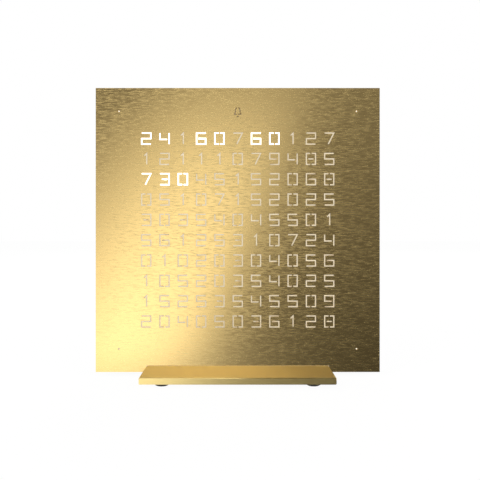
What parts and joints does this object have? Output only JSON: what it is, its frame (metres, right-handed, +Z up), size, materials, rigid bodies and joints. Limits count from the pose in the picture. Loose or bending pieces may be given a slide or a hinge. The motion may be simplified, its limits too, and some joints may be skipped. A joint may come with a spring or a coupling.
{
  "type": "word clock",
  "caption": "Square brushed metal desk clock with cut-out digits lit from behind, on a flat base. The face pulls off its magnets and the setting buttons on the back press in.",
  "frame": {"origin": "under the middle of the base, on the surface that the clock stands on", "axes": "+Z up, -Y the way the face looks, +X to the right of someone who reads the face"},
  "size_m": [0.135, 0.07, 0.1372],
  "materials": {
    "gold_steel": "gold-coloured, brushed sideways, satin",
    "milk_acrylic": "milky translucent sheet",
    "white_plastic": "matt moulded",
    "black_plastic": "fine moulded texture",
    "white_board": "white solder mask",
    "green_board": "green solder mask",
    "chip_black": "matt moulded",
    "bright_metal": "bright plated",
    "magnet_nickel": "nickel plated",
    "dark_rubber": "matt",
    "lead_red": "satin insulation"
  },
  "bodies": {
    "clock_body": {"base_plate": "gold_steel", "diffuser_sheet": "milk_acrylic", "light_grid": "white_plastic", "led_board": "white_board", "led_board_screw_1": "bright_metal", "led_board_screw_2": "bright_metal", "led_board_screw_3": "bright_metal", "led_board_screw_4": "bright_metal", "led_driver_chip_1": "chip_black", "led_driver_chip_2": "chip_black", "board_header": "chip_black", "main_board": "green_board", "main_board_screw_1": "bright_metal", "main_board_screw_2": "bright_metal", "main_board_screw_3": "bright_metal", "main_board_screw_4": "bright_metal", "controller_chip": "chip_black", "clock_crystal": "bright_metal", "storage_capacitor": "bright_metal", "cell_holder": "chip_black", "coin_cell": "bright_metal", "button_switch_1": "chip_black", "button_switch_2": "chip_black", "button_switch_3": "chip_black", "button_switch_4": "chip_black", "power_jack": "black_plastic", "alarm_speaker": "bright_metal", "speaker_lead": "lead_red", "lead_plug": "white_plastic", "housing_frame": "black_plastic", "rear_cover": "black_plastic", "rear_cover_screw_1": "bright_metal", "rear_cover_screw_2": "bright_metal", "rear_cover_screw_3": "bright_metal", "rear_cover_screw_4": "bright_metal", "cover_magnet_1": "magnet_nickel", "cover_magnet_2": "magnet_nickel", "cover_magnet_3": "magnet_nickel", "cover_magnet_4": "magnet_nickel", "base_screw_1": "bright_metal", "base_screw_2": "bright_metal", "foot_1": "dark_rubber", "foot_2": "dark_rubber", "foot_3": "dark_rubber", "foot_4": "dark_rubber"},
    "face": {"front_cover": "gold_steel"},
    "button_1": {"setting_button_1": "black_plastic"},
    "button_2": {"setting_button_2": "black_plastic"},
    "button_3": {"setting_button_3": "black_plastic"},
    "button_4": {"setting_button_4": "black_plastic"}
  },
  "joints": [
    {"name": "face_pull", "type": "slide", "parent": "clock_body", "child": "face", "axis": [0, -1, 0], "range_m": [0, 0.045]},
    {"name": "button_1_press", "type": "slide", "parent": "clock_body", "child": "button_1", "axis": [0, -1, 0], "range_m": [0, 0.0006], "stiffness_N_per_m": 1500, "springref_m": -0.0003},
    {"name": "button_2_press", "type": "slide", "parent": "clock_body", "child": "button_2", "axis": [0, -1, 0], "range_m": [0, 0.0006], "stiffness_N_per_m": 1500, "springref_m": -0.0003},
    {"name": "button_3_press", "type": "slide", "parent": "clock_body", "child": "button_3", "axis": [0, -1, 0], "range_m": [0, 0.0006], "stiffness_N_per_m": 1500, "springref_m": -0.0003},
    {"name": "button_4_press", "type": "slide", "parent": "clock_body", "child": "button_4", "axis": [0, -1, 0], "range_m": [0, 0.0006], "stiffness_N_per_m": 1500, "springref_m": -0.0003}
  ]
}
